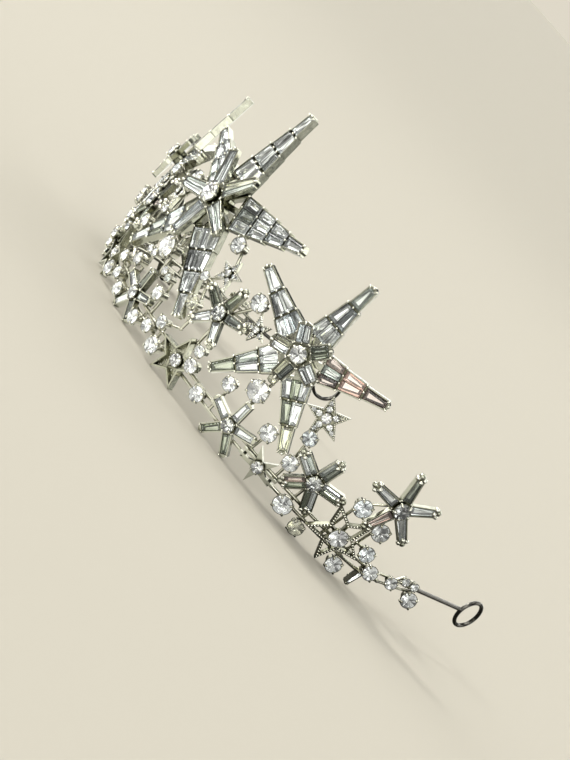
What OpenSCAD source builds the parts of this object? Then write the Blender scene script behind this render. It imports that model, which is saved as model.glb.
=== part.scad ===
// Star tiara of soldered silver settings with clear stones. It stands on its lower edge.
// The front faces -Y, the wearer's left is +X, and the origin is the middle of the box it
// stands in, at the floor. A place on the wall is s, the way along the wall from the middle
// of the front, h, its height, and out, how far it stands in front of the wall.

/* [Wall] */
// Radius of the wall across the front
front_r = 86; // [83:1:89]
// Radius of the wall at the sides
side_r = 67; // [65:1:69]
// Angle from the middle of the front to where the sides begin
front_turn = 49; // [48:1:50]
// Distance that the lower edge is drawn in
flare = 5; // [4:0.5:6]
// Height over which the wall leans out
flare_h = 26; // [24:1:28]

/* [Wires] */
// Thickness of the base wires
wire_d = 1.2; // [1.1:0.05:1.3]
// Thickness of the stems behind the settings
stem_d = 1; // [0.9:0.05:1]
// Height of the lower base wire
low_h = 5.6; // [5.4:0.1:5.8]
// Height of the upper base wire
high_h = 8.2; // [8:0.1:8.4]
// Thickness of the two end wires
end_d = 1.3; // [1.2:0.1:1.4]
// Straight length of an end wire
end_run = 32.4; // [28:0.2:36]
// Radius of the loop in an end wire, to the middle of the wire
loop_r = 4.8; // [4.6:0.1:5]

/* [Large stars] */
// Height of the hub of the centre star
centre_h = 45.5; // [45:0.5:46]
// Way along the wall to the hub of a side star
side_s = 57.6; // [57:0.2:58]
// Height of the hub of a side star
side_h = 37.9; // [37.5:0.1:38.5]
// Thickness of a channel setting in a large star
channel_t = 2.4; // [2.2:0.1:2.6]

/* [Settings] */
// Thickness of a channel setting in a small star
small_t = 1.8; // [1.6:0.1:2]
// Thickness of the metal behind a stone
floor_t = 0.6; // [0.5:0.1:0.8]
// Thickness of the metal round a stone
rim = 0.4; // [0.3:0.05:0.5]
// Clearance round a stone in its setting
fit = 0.1; // [0.05:0.05:0.15]

/* [Hidden] */
$fn = 32;

// Distance from the middle of the wall's arc to the middle of the box the tiara stands in
origin_y = 21.9;
// Way along the wall to where the sides begin, and the middle of a side's arc
front_run = front_r * front_turn * PI / 180;
side_x = (front_r - side_r) * sin(front_turn);
side_y = -(front_r - side_r) * cos(front_turn);
// Level of the wires' middle, behind the wall
wire_out = -0.7;
// Width of the solder bead on a wire's end
bead_d = wire_d + 0.1;
// Level of the large stars' backs
star_out = 0.7;
// Where the base across the front ends, and the gap between the ends of the base wires
front_end = 41;
joint_gap = 0.1;
// Where the level base wires end, and where they meet the end wire
level_end = 124;
band_end = 149;
// Start of an end wire behind the band, its heading seen from above, and its rise
end_s = 146;
end_h = 10.3;
end_out = -2.1;
end_turn = 105;
end_rise = 3.4;
// How far the bore cuts into the wire of a loop, past its middle line
bore_in = 0.5;
// Metal at each end of a row of stones, and how far the bars between rows lie under the edge
end_wall = 0.1;
bar_drop = 0.7;

// Columns of a row of baguette stones in an arm
R_IN = 0;
R_OUT = 1;
W_IN = 2;
W_OUT = 3;
STONES = 4;

// Rows of stones in an arm of the centre star, from its hub outwards
centre_rows = [
    [8.6, 15.3, 12, 10.4, 3],
    [15.7, 22.1, 9.8, 8.2, 3],
    [22.5, 29.1, 7.4, 5.6, 2],
    [29.5, 36.4, 4.4, 3.4, 1]
];
centre_reach = 37.2;
// Rows of stones in an arm of a side star
side_rows = [
    [6.6, 12.6, 9.4, 7.6, 3],
    [13, 20, 7, 5.2, 2],
    [20.4, 27.8, 4.4, 3.2, 1]
];
side_reach = 28.7;
side_tip = 91;
// The smaller star that stands in front of each large star: its row, reach, lift and hub stone
centre_over_rows = [[3.8, 15.4, 5.4, 3.8, 2]];
centre_over_reach = 16.6;
centre_lift = 4;
centre_hub_d = 6;
side_over_rows = [[3.4, 8.8, 4.8, 4.4, 2]];
side_over_reach = 9.8;
side_lift = 3.2;
side_hub_d = 5;
centre_tip = 90;
over_t = 1.6;
post_d = 5;

// Columns of a small star
S = 0;
H = 1;
REACH = 2;
TIP = 3;
HUB = 4;
ARM_IN = 5;
ARM_OUT = 6;
ACROSS = 7;
BALLS = 8;

// Small stars with baguette arms. A star that isn't on the front's middle is made twice.
low_centre = [0, 8.3, 9.5, 90, 4, 3.3, 2.8, 1, 0];
low_side = [58, 8.3, 9.5, 90, 4, 3.3, 2.8, 1, 0];
ball_side = [31.5, 26.5, 9.8, 89, 4.5, 3.5, 2.8, 1, 1];
leaf_side = [87.2, 16.5, 9.8, 84, 4.6, 4.2, 4, 2, 1];
end_side = [110.2, 28.9, 11.6, 107, 5, 3.7, 2.8, 1, 1];
// Small stars with flat or paved arms
relief_side = [31.1, 7.6, 8.8, 91, 4];
paved_side = [42.9, 32.2, 4.4, 54, 2];
high_side = [75.4, 31.5, 7, 120, 3];
bar_side = [72.9, 7, 6.3, 270, 3.6];
open_side = [104.8, 10.4, 10.4, 62, 5.8];
dotted_side = [23.1, 35.5, 5, 90, 2];
// Share of a flat star's reach at its waist and its sunk face, and the thickness at its edge
relief_waist = 0.44;
relief_edge = 0.84;
relief_t = 2.4;
paved_waist = 0.44;
paved_edge = 0.8;
paved_t = 1.2;
// Level of the widest place of the round stone that is sunk in the plain star
relief_hub = 1.7;
// Narrow setting that points down near the end of a side: its place, its one row and its reach
down_s = 121.5;
down_h = 7;
down_out = -0.3;
down_rows = [[0.6, 5.6, 2.2, 1.6, 1]];
down_reach = 6.4;

// Columns of a round stone
D = 2;
// Direction past which round stones no longer turn back with the wall, but face ahead and level
end_face = 73;
// Round stones on the front's middle, and the large one hung below each big hub
centre_drop = [0, 25.7, 7];
side_drop = [57, 22.2, 6.7];
// Round stones on one half of the front, on a shoulder and on one side
front_stones = [
    [7.9, 4.4, 4.6], [14.9, 6.6, 4.2], [21.8, 4.6, 5.2], [9.5, 15, 4.3], [18.5, 11.2, 4],
    [5, 20.5, 2.7], [8.2, 20, 2.7], [22.4, 22.6, 4.5], [18.6, 29.5, 3], [18.7, 42.9, 5],
    [38, 37.8, 5.3], [35.6, 15.4, 3.6]
];
// Round stone whose cup stands on an arm of the relief star, and the level of that cup
relief_stone = [37.6, 11.2, 4.4];
relief_out = 1.4;
shoulder_stones = [[44.5, 6.9, 4.8], [49.5, 16.6, 4.5], [57, 27.1, 2.4], [67.7, 16.4, 5.2]];
side_stones = [
    [78.2, 15.4, 4.8],
    [76.5, 24.6, 4.6], [86, 5.4, 5.8], [94, 3.4, 4.8], [101.8, 21.5, 5.6], [112.2, 19.8, 5.4],
    [116.1, 12, 4.8], [111.9, 2.9, 5], [123.4, 8.3, 4.6], [133.4, 9.8, 3.8],
    [137.7, 12.8, 2.5], [143.5, 13, 2.5], [149.1, 8.3, 5]
];
// Stems behind the settings: each is a line of places on the wall
middle_stem = [[0, low_h], [0, 16], [0, flare_h], [0, 43]];
front_stems = [
    [[9.5, high_h], [9.5, 15], [8.2, 20], [5, 20.5]],
    [[18.5, low_h], [18.5, 11.2], [23.4, 13.6], [23.8, 19], [22.4, 22.6]],
    [[22.4, 22.6], [18.6, 29.5], [23.1, 35.5], [18.7, 42.9]],
    [[31.5, low_h], [31.5, flare_h], [38, 37.8], [42.9, 32.2]],
    [[31.5, 15.4], [35.6, 15.4]],
    [[7.9, 4.4], [7.9, high_h]],
    [[14.9, low_h], [14.9, high_h]],
    [[21.8, 4.6], [21.8, high_h]]
];
shoulder_stems = [
    [[44.5, low_h], [44.5, high_h]],
    [[49.5, low_h], [49.5, 16.6]],
    [[57.6, low_h], [57.6, flare_h], [57.6, 37]],
    [[67, low_h], [67.7, 16.4]]
];
side_stems = [
    [[78.5, low_h], [78.2, 15.4], [76.5, 24.6], [75.4, 31]],
    [[87.2, 5.4], [87.2, 16]],
    [[94, 3.4], [94, high_h]],
    [[101.8, low_h], [101.8, 21.5], [110.2, 28.9], [112.2, 19.8], [111.9, 2.9]],
    [[112, 12], [116.1, 12]],
    [[121.5, high_h], [121.5, 2.6]]
];
end_stems = [
    [[level_end, low_h], [131, 6.8], [139, 8.4], [band_end, 9.9]],
    [[level_end, high_h], [133.4, 10.2], [140, 11], [band_end, 11.4]],
    [[136, 10.4], [137.7, 12.8], [143.5, 13], [145, 11.1]]
];

// Places on the wall
function turn(s) = s <= front_run ? s / front_r * 180 / PI
    : front_turn + (s - front_run) / side_r * 180 / PI;
function foot(s) = s <= front_run ? front_r * [sin(turn(s)), -cos(turn(s))]
    : [side_x + side_r * sin(turn(s)), side_y - side_r * cos(turn(s))];
function lean(h) = h < flare_h ? atan(flare / flare_h) : 0;
function inset(h) = flare * (1 - min(h, flare_h) / flare_h);
function spot(s, h, out) = let (r = out * cos(lean(h)) - inset(h), p = foot(s))
    [p.x + r * sin(turn(s)), p.y - r * cos(turn(s)) + origin_y, h - out * sin(lean(h))];
function outward(s, h) = [
    sin(turn(s)) * cos(lean(h)),
    -cos(turn(s)) * cos(lean(h)),
    -sin(lean(h))
];
function unit(v) = v / norm(v);

// Sets its children on the wall, drawn flat and facing up
module on_wall(s, h, out = 0) {
    translate(spot(s, h, out)) rotate([0, 0, turn(s)]) rotate([90 + lean(h), 0, 0]) children();
}

// Sets its children where a round stone stands
module at_stone(p) {
    facing = min(turn(p[S]), end_face);
    tilt = turn(p[S]) > end_face ? 0 : lean(p[H]);
    translate(spot(p[S], p[H], 0)) rotate([0, 0, facing]) rotate([90 + tilt, 0, 0]) children();
}

// Sets an arm, drawn along X, so that its hub and its tip both lie on the wall
module along_wall(s, h, angle, reach, out) {
    tip_s = s + reach * cos(angle);
    tip_h = h + reach * sin(angle);
    start = spot_either(s, h, 0);
    ahead = unit(spot_either(tip_s, tip_h, 0) - start);
    face = outward_either((s + tip_s) / 2, (h + tip_h) / 2);
    across = unit(cross(face, ahead));
    up = cross(ahead, across);
    multmatrix([
        [ahead.x, across.x, up.x, start.x],
        [ahead.y, across.y, up.y, start.y],
        [ahead.z, across.z, up.z, start.z],
        [0, 0, 0, 1]
    ]) translate([0, 0, out]) children();
}

// The same places on the wearer's right, where s is below 0
function spot_either(s, h, out) = let (p = spot(abs(s), h, out)) [p.x * sign(s + 1e-9), p.y, p.z];
function outward_either(s, h) = let (p = outward(abs(s), h)) [p.x * sign(s + 1e-9), p.y, p.z];

// Makes the wearer's right piece from the left one
module right_side() {
    mirror([1, 0, 0]) children();
}

// Wire along a line of places on the wall, with a solder bead at each place
module stem(places) {
    points = [for (p = places) spot(p[S], p[H], wire_out)];
    for (k = [1:len(points) - 1]) rod(points[k - 1], points[k], stem_d);
    for (p = points) translate(p) sphere(d = bead_d);
}

module rod(from, to, d) {
    way = to - from;
    translate(from)
        rotate([0, acos(way.z / norm(way)), atan2(way.y, way.x)])
        cylinder(d = d, h = norm(way));
}

// Level base wire on the front, between two angles from its middle
module front_wire(h, turn_a, turn_b) {
    ring = spot(0, h, wire_out);
    translate([0, origin_y, ring.z])
        rotate([0, 0, turn_a - 90])
        rotate_extrude(angle = turn_b - turn_a)
        translate([origin_y - ring.y, 0])
        circle(d = wire_d);
}

// Level base wire round the wearer's left side, between two angles
module side_wire(h, turn_a, turn_b) {
    ring = spot(0, h, wire_out);
    translate([side_x, side_y + origin_y, ring.z])
        rotate([0, 0, turn_a - 90])
        rotate_extrude(angle = turn_b - turn_a)
        translate([origin_y - ring.y - front_r + side_r, 0])
        circle(d = wire_d);
}

// Level of a round stone's widest place in its cup
function girdle(d) = 1.3 + 0.3 * d;

// Round stone with a flat top and a pointed back, its widest place at the level z
module round_stone(d, z) {
    rotate_extrude() polygon([
        [0, z - 0.36 * d], [0.5 * d, z - 0.02 * d], [0.5 * d, z + 0.02 * d],
        [0.28 * d, z + 0.17 * d], [0, z + 0.17 * d]
    ]);
}

// Body of a cup for a round stone, from the level foot_z up to the stone's widest place
module cup_body(d, z, foot_z) {
    lip = 0.2;
    rotate_extrude() polygon([
        [0, foot_z], [0.34 * d, foot_z], [0.34 * d, z - 0.28 * d],
        [0.5 * d + lip, z - 0.07 * d], [0.5 * d + lip, z], [0, z]
    ]);
}

// Space that a round stone takes in its setting
module seat(d, z) {
    rotate_extrude() polygon([
        [0, z - 0.36 * d - fit], [0.5 * d + 0.05, z - 0.02 * d - fit / 2],
        [0.5 * d + 0.05, z + d], [0, z + d]
    ]);
}

module cup(d, z, foot_z) {
    difference() {
        cup_body(d, z, foot_z);
        seat(d, z);
    }
}

// Outline of the channel that holds a row of stones, smaller by gap all round
module channel_shape(row, gap = 0) {
    ends = end_wall + gap;
    sides = rim + gap;
    polygon([
        [row[R_IN] + ends, sides - row[W_IN] / 2], [row[R_OUT] - ends, sides - row[W_OUT] / 2],
        [row[R_OUT] - ends, row[W_OUT] / 2 - sides], [row[R_IN] + ends, row[W_IN] / 2 - sides]
    ]);
}

// Outline of one stone in a row, clear of the channel and of the next stone
module stone_shape(row, k) {
    low = k / row[STONES] - 0.5;
    high = (k + 1) / row[STONES] - 0.5;
    w_in = row[W_IN] - 2 * rim;
    w_out = row[W_OUT] - 2 * rim;
    x_in = row[R_IN] + end_wall + fit;
    x_out = row[R_OUT] - end_wall - fit;
    polygon([
        [x_in, w_in * low + fit], [x_out, w_out * low + fit],
        [x_out, w_out * high - fit], [x_in, w_in * high - fit]
    ]);
}

// Outline of the bars between an arm's rows, over the width of the channels beside them
module bars_shape(rows) {
    into = end_wall + 0.05;
    if (len(rows) > 1) for (k = [1:len(rows) - 1]) {
        low = rows[k - 1];
        high = rows[k];
        polygon([
            [low[R_OUT] - into, rim - low[W_OUT] / 2], [high[R_IN] + into, rim - high[W_IN] / 2],
            [high[R_IN] + into, high[W_IN] / 2 - rim], [low[R_OUT] - into, low[W_OUT] / 2 - rim]
        ]);
    }
}

// Outline of an arm's setting, from the hub to its blunt tip
module arm_shape(rows, reach) {
    first = rows[0];
    last = rows[len(rows) - 1];
    polygon([
        [0, -0.5], [first[R_IN], -first[W_IN] / 2], [first[R_IN], first[W_IN] / 2], [0, 0.5]
    ]);
    for (row = rows) polygon([
        [row[R_IN] - rim, -row[W_IN] / 2], [row[R_OUT] + rim, -row[W_OUT] / 2],
        [row[R_OUT] + rim, row[W_OUT] / 2], [row[R_IN] - rim, row[W_IN] / 2]
    ]);
    polygon([
        [last[R_OUT], -last[W_OUT] / 2], [reach, -0.4], [reach, 0.4], [last[R_OUT], last[W_OUT] / 2]
    ]);
}

// Channel setting of an arm, with a floor behind its stones and sunk bars between its rows
module arm_setting(rows, reach, t) {
    linear_extrude(floor_t) arm_shape(rows, reach);
    linear_extrude(t - bar_drop) difference() {
        arm_shape(rows, reach);
        for (row = rows) channel_shape(row);
    }
    linear_extrude(t) difference() {
        arm_shape(rows, reach);
        for (row = rows) channel_shape(row);
        bars_shape(rows);
    }
}

// Channel settings of a flat star, with a round plate at its hub
module star_setting(rows, reach, hub_r, t) {
    linear_extrude(floor_t) star_outline(rows, reach, hub_r);
    linear_extrude(t) difference() {
        star_outline(rows, reach, hub_r);
        for (k = [0:4], row = rows) rotate(72 * k) channel_shape(row);
    }
}

module star_outline(rows, reach, hub_r) {
    circle(r = hub_r);
    for (k = [0:4]) rotate(72 * k) arm_shape(rows, reach);
}

// Stones of an arm, joined at their backs, each row in its own channel
module arm_stones(rows, t) {
    proud = 0.2;
    joined_t = 0.5;
    for (row = rows) translate([0, 0, floor_t + fit]) {
        linear_extrude(joined_t) channel_shape(row, fit);
        linear_extrude(t + proud - floor_t - fit)
            for (k = [0:row[STONES] - 1]) stone_shape(row, k);
    }
}

// Large star: five arms that follow the wall, and the smaller star in front of them
module large_star(s, h, tip, rows, reach, over_rows, over_reach, lift, hub_d) {
    difference() {
        union() {
            for (k = [0:4])
                along_wall(s, h, tip + 72 * k, reach, star_out)
                arm_setting(rows, reach, channel_t);
            on_wall(s, h, star_out) {
                cylinder(d = post_d, h = lift + floor_t);
                translate([0, 0, lift])
                    rotate([0, 0, tip + 36])
                    star_setting(over_rows, over_reach, over_rows[0][R_IN] + rim / 2, over_t);
                cup_body(hub_d, lift + hub_level(hub_d), lift + floor_t);
            }
        }
        on_wall(s, h, star_out) seat(hub_d, lift + hub_level(hub_d));
        for (k = [0:4])
            along_wall(s, h, tip + 72 * k, reach, star_out)
            windows(rows[0]);
    }
}

// Two openings beside the neck of an arm, between the post and the first row of stones
module windows(first) {
    neck = 1;
    spread = 0.62;
    past = 0.5;
    x_in = post_d / 2 + 0.8;
    x_out = first[R_IN] - rim - 0.3;
    translate([0, 0, -past]) linear_extrude(channel_t + 2 * past)
        for (side = [-1, 1]) polygon([
            [x_in, side * neck], [x_out, side * neck],
            [x_out, side * spread * x_out], [x_in, side * spread * x_in]
        ]);
}

// Height of a hub stone's widest place over the back of its star
function hub_level(d) = 0.9 + 0.36 * d;

module large_star_stones(s, h, tip, rows, reach) {
    for (k = [0:4])
        along_wall(s, h, tip + 72 * k, reach, star_out)
        arm_stones(rows, channel_t);
}

module overlay_stones(s, h, tip, rows, lift) {
    on_wall(s, h, star_out + lift)
        for (k = [0:4]) rotate([0, 0, tip + 36 + 72 * k]) arm_stones(rows, over_t);
}

module hub_stone(s, h, lift, d) {
    on_wall(s, h, star_out + lift) round_stone(d, hub_level(d));
}

// The one row of stones in an arm of a small star
function small_row(star) = [
    star[HUB] / 2 + 0.3, star[REACH] - 0.9, star[ARM_IN], star[ARM_OUT], star[ACROSS]
];
function small_hub(star) = 1.2 + 0.36 * star[HUB];

module baguette_star(star) {
    ball_d = 2.1;
    ball_in = 0.1;
    on_wall(star[S], star[H]) rotate([0, 0, star[TIP]]) difference() {
        union() {
            star_setting([small_row(star)], star[REACH], star[HUB] / 2 + 0.6, small_t);
            if (star[BALLS] > 0) for (k = [0:4])
                rotate([0, 0, 72 * k])
                translate([star[REACH] + ball_in, 0, small_t / 2])
                sphere(d = ball_d);
            cup_body(star[HUB], small_hub(star), floor_t);
        }
        seat(star[HUB], small_hub(star));
    }
}

module baguette_star_stones(star) {
    on_wall(star[S], star[H]) {
        for (k = [0:4]) rotate([0, 0, star[TIP] + 72 * k]) arm_stones([small_row(star)], small_t);
        round_stone(star[HUB], small_hub(star));
    }
}

// Five-pointed outline with a tip on X
module star_shape(reach, waist) {
    polygon([
        for (k = [0:9]) (k % 2 == 0 ? reach : waist) * [cos(36 * k), sin(36 * k)]
    ]);
}

// Small star with a raised edge, a sunk face and a cup at its hub
module plate_star(star, waist, edge, t, hub_z) {
    on_wall(star[S], star[H]) rotate([0, 0, star[TIP]]) difference() {
        union() {
            linear_extrude(floor_t + 0.2) star_shape(star[REACH], waist * star[REACH]);
            linear_extrude(t) difference() {
                star_shape(star[REACH], waist * star[REACH]);
                star_shape(edge * star[REACH], edge * waist * star[REACH]);
            }
            cup_body(star[HUB], hub_z, 0.2);
        }
        seat(star[HUB], hub_z);
    }
}

module paved_star(star) {
    plate_star(star, paved_waist, paved_edge, paved_t, small_hub(star));
}

// Small star of wire: an outline held to the cup by five ties
module open_star(star) {
    waist = 0.46;
    edge = 0.8;
    t = 1.6;
    on_wall(star[S], star[H]) rotate([0, 0, star[TIP]]) {
        linear_extrude(t) difference() {
            star_shape(star[REACH], waist * star[REACH]);
            star_shape(edge * star[REACH], edge * waist * star[REACH]);
        }
        for (k = [0:4])
            rotate([0, 0, 36 + 72 * k])
            translate([0.26 * star[HUB], -0.4, 0])
            cube([waist * star[REACH] - 0.26 * star[HUB] - 0.4, 0.8, t]);
        cup(star[HUB], girdle(star[HUB]), 0.2);
    }
}

// Star with its arm down, and two straight bars that run past its cup
module bar_star(star) {
    bar_w = 0.8;
    bar_out = 0.7;
    bar_rows = [-1.4, 0.4];
    waist = 0.3;
    t = 1.4;
    on_wall(star[S], star[H]) difference() {
        union() {
            linear_extrude(t) rotate(star[TIP]) star_shape(star[REACH], waist * star[REACH]);
            for (y = bar_rows)
                translate([-star[REACH] - bar_out, y, 0])
                cube([2 * (star[REACH] + bar_out), bar_w, t]);
            cup_body(star[HUB], small_hub(star), 0.2);
        }
        seat(star[HUB], small_hub(star));
    }
}

// Cups and stones of a list of places
module cups(places) {
    for (p = places) at_stone(p) cup(p[D], girdle(p[D]), wire_out - 0.3);
}

module stones(places) {
    for (p = places) at_stone(p) round_stone(p[D], girdle(p[D]));
}

// Base wires, stems and cups across the front
module base_front() {
    color("silver") {
        for (h = [low_h, high_h]) front_wire(h, -turn(front_end), turn(front_end));
        stem(middle_stem);
        cups([centre_drop]);
        for (half = [0, 1]) mirror([half, 0, 0]) {
            for (line = front_stems) stem(line);
            cups(front_stones);
        }
    }
}

// Base wires, stems and cups below the wearer's left large star
module base_shoulder_left() {
    color("silver") {
        for (h = [low_h, high_h]) front_wire(h, turn(front_end + joint_gap), front_turn);
        for (line = shoulder_stems) stem(line);
        cups([side_drop]);
        cups(shoulder_stones);
    }
}

// Base wires, stems and cups of the wearer's left side
module base_left() {
    color("silver") {
        for (h = [low_h, high_h]) side_wire(h, turn(front_run + joint_gap), turn(level_end));
        for (line = side_stems) stem(line);
        for (line = end_stems) stem(line);
        cups(side_stones);
        down_baguette();
    }
}

// Narrow setting that points down near the end of the side
module down_baguette() {
    on_wall(down_s, down_h, down_out)
        rotate([0, 0, -90])
        arm_setting(down_rows, down_reach, small_t);
}

// End wire with its loop, bored through so that a pin or ribbon goes in
module end_wire_left() {
    start = spot(end_s, end_h, end_out);
    finish = start + [end_run * cos(end_turn), end_run * sin(end_turn), end_rise];
    color("gray") {
        rod(start, finish, end_d);
        translate(finish + [loop_r * cos(end_turn), loop_r * sin(end_turn), 0])
            rotate([0, 0, end_turn])
            rotate([90, 0, 0])
            difference() {
                rotate_extrude() translate([loop_r, 0]) circle(d = end_d);
                cylinder(r = loop_r - bore_in, h = 4 * end_d, center = true);
            }
    }
}

module centre_star() {
    color("silver") large_star(
        0, centre_h, centre_tip, centre_rows, centre_reach,
        centre_over_rows, centre_over_reach, centre_lift, centre_hub_d
    );
}

module left_star() {
    color("silver") large_star(
        side_s, side_h, side_tip, side_rows, side_reach,
        side_over_rows, side_over_reach, side_lift, side_hub_d
    );
}

module low_centre_star() {
    color("silver") baguette_star(low_centre);
}

module low_star_left() {
    color("silver") baguette_star(low_side);
}

module ball_star_left() {
    color("silver") baguette_star(ball_side);
}

module leaf_star_left() {
    color("silver") baguette_star(leaf_side);
}

module end_star_left() {
    color("silver") baguette_star(end_side);
}

// Plain star on the lower edge, with a round stone's cup on the arm beside the side star
module relief_star_left() {
    color("gray") {
        plate_star(relief_side, relief_waist, relief_edge, relief_t, relief_hub);
        on_wall(relief_stone[S], relief_stone[H], relief_out)
            cup(relief_stone[D], girdle(relief_stone[D]), -relief_out + 0.2);
    }
}

module paved_star_left() {
    color("silver") paved_star(paved_side);
}

module high_star_left() {
    color("silver") paved_star(high_side);
}

module bar_star_left() {
    color("silver") bar_star(bar_side);
}

module open_star_left() {
    color("silver") open_star(open_side);
}

module dotted_star_left() {
    color("silver") paved_star(dotted_side);
}

module centre_star_stones() {
    color("lightcyan") large_star_stones(0, centre_h, centre_tip, centre_rows, centre_reach);
}

module left_star_stones() {
    color("lightcyan") large_star_stones(side_s, side_h, side_tip, side_rows, side_reach);
}

module centre_overlay_stones() {
    color("azure") overlay_stones(0, centre_h, centre_tip, centre_over_rows, centre_lift);
}

module left_overlay_stones() {
    color("azure") overlay_stones(side_s, side_h, side_tip, side_over_rows, side_lift);
}

module centre_hub_stone() {
    color("lightblue") hub_stone(0, centre_h, centre_lift, centre_hub_d);
}

module left_hub_stone() {
    color("lightblue") hub_stone(side_s, side_h, side_lift, side_hub_d);
}

module centre_drop_stone() {
    color("azure") stones([centre_drop]);
}

module left_drop_stone() {
    color("azure") stones([side_drop]);
}

module low_centre_star_stones() {
    color("lightcyan") baguette_star_stones(low_centre);
}

module low_star_stones_left() {
    color("lightcyan") baguette_star_stones(low_side);
}

module ball_star_stones_left() {
    color("lightcyan") baguette_star_stones(ball_side);
}

module leaf_star_stones_left() {
    color("lightcyan") baguette_star_stones(leaf_side);
}

module end_star_stones_left() {
    color("lightcyan") baguette_star_stones(end_side);
}

// Round stones across the front, with those of the dotted and relief stars
module round_stones_front() {
    color("azure") for (half = [0, 1]) mirror([half, 0, 0]) {
        stones(front_stones);
        on_wall(relief_stone[S], relief_stone[H], relief_out)
            round_stone(relief_stone[D], girdle(relief_stone[D]));
        on_wall(relief_side[S], relief_side[H]) round_stone(relief_side[HUB], relief_hub);
        on_wall(dotted_side[S], dotted_side[H])
            round_stone(dotted_side[HUB], small_hub(dotted_side));
    }
}

// Round stones of the wearer's left shoulder and side, with those of their flat stars
module round_stones_left() {
    color("azure") {
        stones(shoulder_stones);
        stones(side_stones);
        for (star = [paved_side, high_side, bar_side])
            on_wall(star[S], star[H]) round_stone(star[HUB], small_hub(star));
        on_wall(open_side[S], open_side[H]) round_stone(open_side[HUB], girdle(open_side[HUB]));
        on_wall(down_s, down_h, down_out) rotate([0, 0, -90]) arm_stones(down_rows, small_t);
    }
}

base_front();
base_shoulder_left();
right_side() base_shoulder_left();  // base_shoulder_right
base_left();
right_side() base_left();  // base_right
end_wire_left();
right_side() end_wire_left();  // end_wire_right
centre_star();
left_star();
right_side() left_star();  // right_star
low_centre_star();
low_star_left();
right_side() low_star_left();  // low_star_right
ball_star_left();
right_side() ball_star_left();  // ball_star_right
leaf_star_left();
right_side() leaf_star_left();  // leaf_star_right
end_star_left();
right_side() end_star_left();  // end_star_right
relief_star_left();
right_side() relief_star_left();  // relief_star_right
paved_star_left();
right_side() paved_star_left();  // paved_star_right
high_star_left();
right_side() high_star_left();  // high_star_right
bar_star_left();
right_side() bar_star_left();  // bar_star_right
open_star_left();
right_side() open_star_left();  // open_star_right
dotted_star_left();
right_side() dotted_star_left();  // dotted_star_right
centre_star_stones();
left_star_stones();
right_side() left_star_stones();  // right_star_stones
centre_overlay_stones();
left_overlay_stones();
right_side() left_overlay_stones();  // right_overlay_stones
centre_hub_stone();
left_hub_stone();
right_side() left_hub_stone();  // right_hub_stone
centre_drop_stone();
left_drop_stone();
right_side() left_drop_stone();  // right_drop_stone
low_centre_star_stones();
low_star_stones_left();
right_side() low_star_stones_left();  // low_star_stones_right
ball_star_stones_left();
right_side() ball_star_stones_left();  // ball_star_stones_right
leaf_star_stones_left();
right_side() leaf_star_stones_left();  // leaf_star_stones_right
end_star_stones_left();
right_side() end_star_stones_left();  // end_star_stones_right
round_stones_front();
round_stones_left();
right_side() round_stones_left();  // round_stones_right
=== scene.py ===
import math
import random
from collections import namedtuple

import bpy
from mathutils import Matrix, Vector


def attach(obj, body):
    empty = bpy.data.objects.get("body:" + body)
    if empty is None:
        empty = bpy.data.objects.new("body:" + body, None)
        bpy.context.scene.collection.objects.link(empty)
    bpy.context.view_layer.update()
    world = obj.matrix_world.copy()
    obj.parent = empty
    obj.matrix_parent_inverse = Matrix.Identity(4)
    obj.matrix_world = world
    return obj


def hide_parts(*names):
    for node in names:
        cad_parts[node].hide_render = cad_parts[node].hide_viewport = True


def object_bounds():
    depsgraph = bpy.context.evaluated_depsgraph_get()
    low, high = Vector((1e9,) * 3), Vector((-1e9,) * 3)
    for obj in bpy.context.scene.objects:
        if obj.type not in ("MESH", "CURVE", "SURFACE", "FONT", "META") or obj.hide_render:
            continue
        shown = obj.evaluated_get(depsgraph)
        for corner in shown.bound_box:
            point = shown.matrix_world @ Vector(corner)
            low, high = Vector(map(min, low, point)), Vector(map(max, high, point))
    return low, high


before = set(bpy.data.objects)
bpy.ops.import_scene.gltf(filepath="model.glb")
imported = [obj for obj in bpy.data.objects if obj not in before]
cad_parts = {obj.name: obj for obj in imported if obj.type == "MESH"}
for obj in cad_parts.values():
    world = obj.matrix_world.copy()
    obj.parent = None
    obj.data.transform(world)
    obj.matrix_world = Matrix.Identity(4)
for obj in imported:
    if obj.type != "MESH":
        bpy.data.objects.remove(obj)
cad_low, cad_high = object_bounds()

# Sizes are in millimetres until a mesh is made
MM = 0.001

# The wall that the settings stand on: two arcs, leaning out over its lowest stretch
FRONT_R = 86
SIDE_R = 67
FRONT_TURN = math.radians(49)
FLARE = 5
FLARE_H = 26
ORIGIN_Y = 21.9
FRONT_RUN = FRONT_R * FRONT_TURN
SIDE_X = (FRONT_R - SIDE_R) * math.sin(FRONT_TURN)
SIDE_Y = -(FRONT_R - SIDE_R) * math.cos(FRONT_TURN)

# How far the large stars stand off the wall, and the thickness of their settings, of small stars
# and of the smaller stars in front
STAR_OUT = 0.7
CHANNEL_T = 2.4
SMALL_T = 1.8
OVER_T = 1.6
# A setting's floor, rim, end walls and sunk bars, and the clearance and rise of its stones
FLOOR_T = 0.6
RIM = 0.4
END_WALL = 0.1
BAR_DROP = 0.7
FIT = 0.1
PROUD = 0.2

# A row of baguettes runs from r_in to r_out along an arm. A setting stands at s along the wall and at
# the height h, with its first tip at an angle, and its hub stone has the diameter hub
Row = namedtuple("Row", "r_in r_out w_in w_out stones")
Star = namedtuple("Star", "s h reach tip hub arm_in arm_out across balls")
Plate = namedtuple("Plate", "s h reach tip hub")
Stone = namedtuple("Stone", "s h d")
LargeStar = namedtuple("LargeStar", "s h tip rows reach over_row over_reach lift hub")

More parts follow.
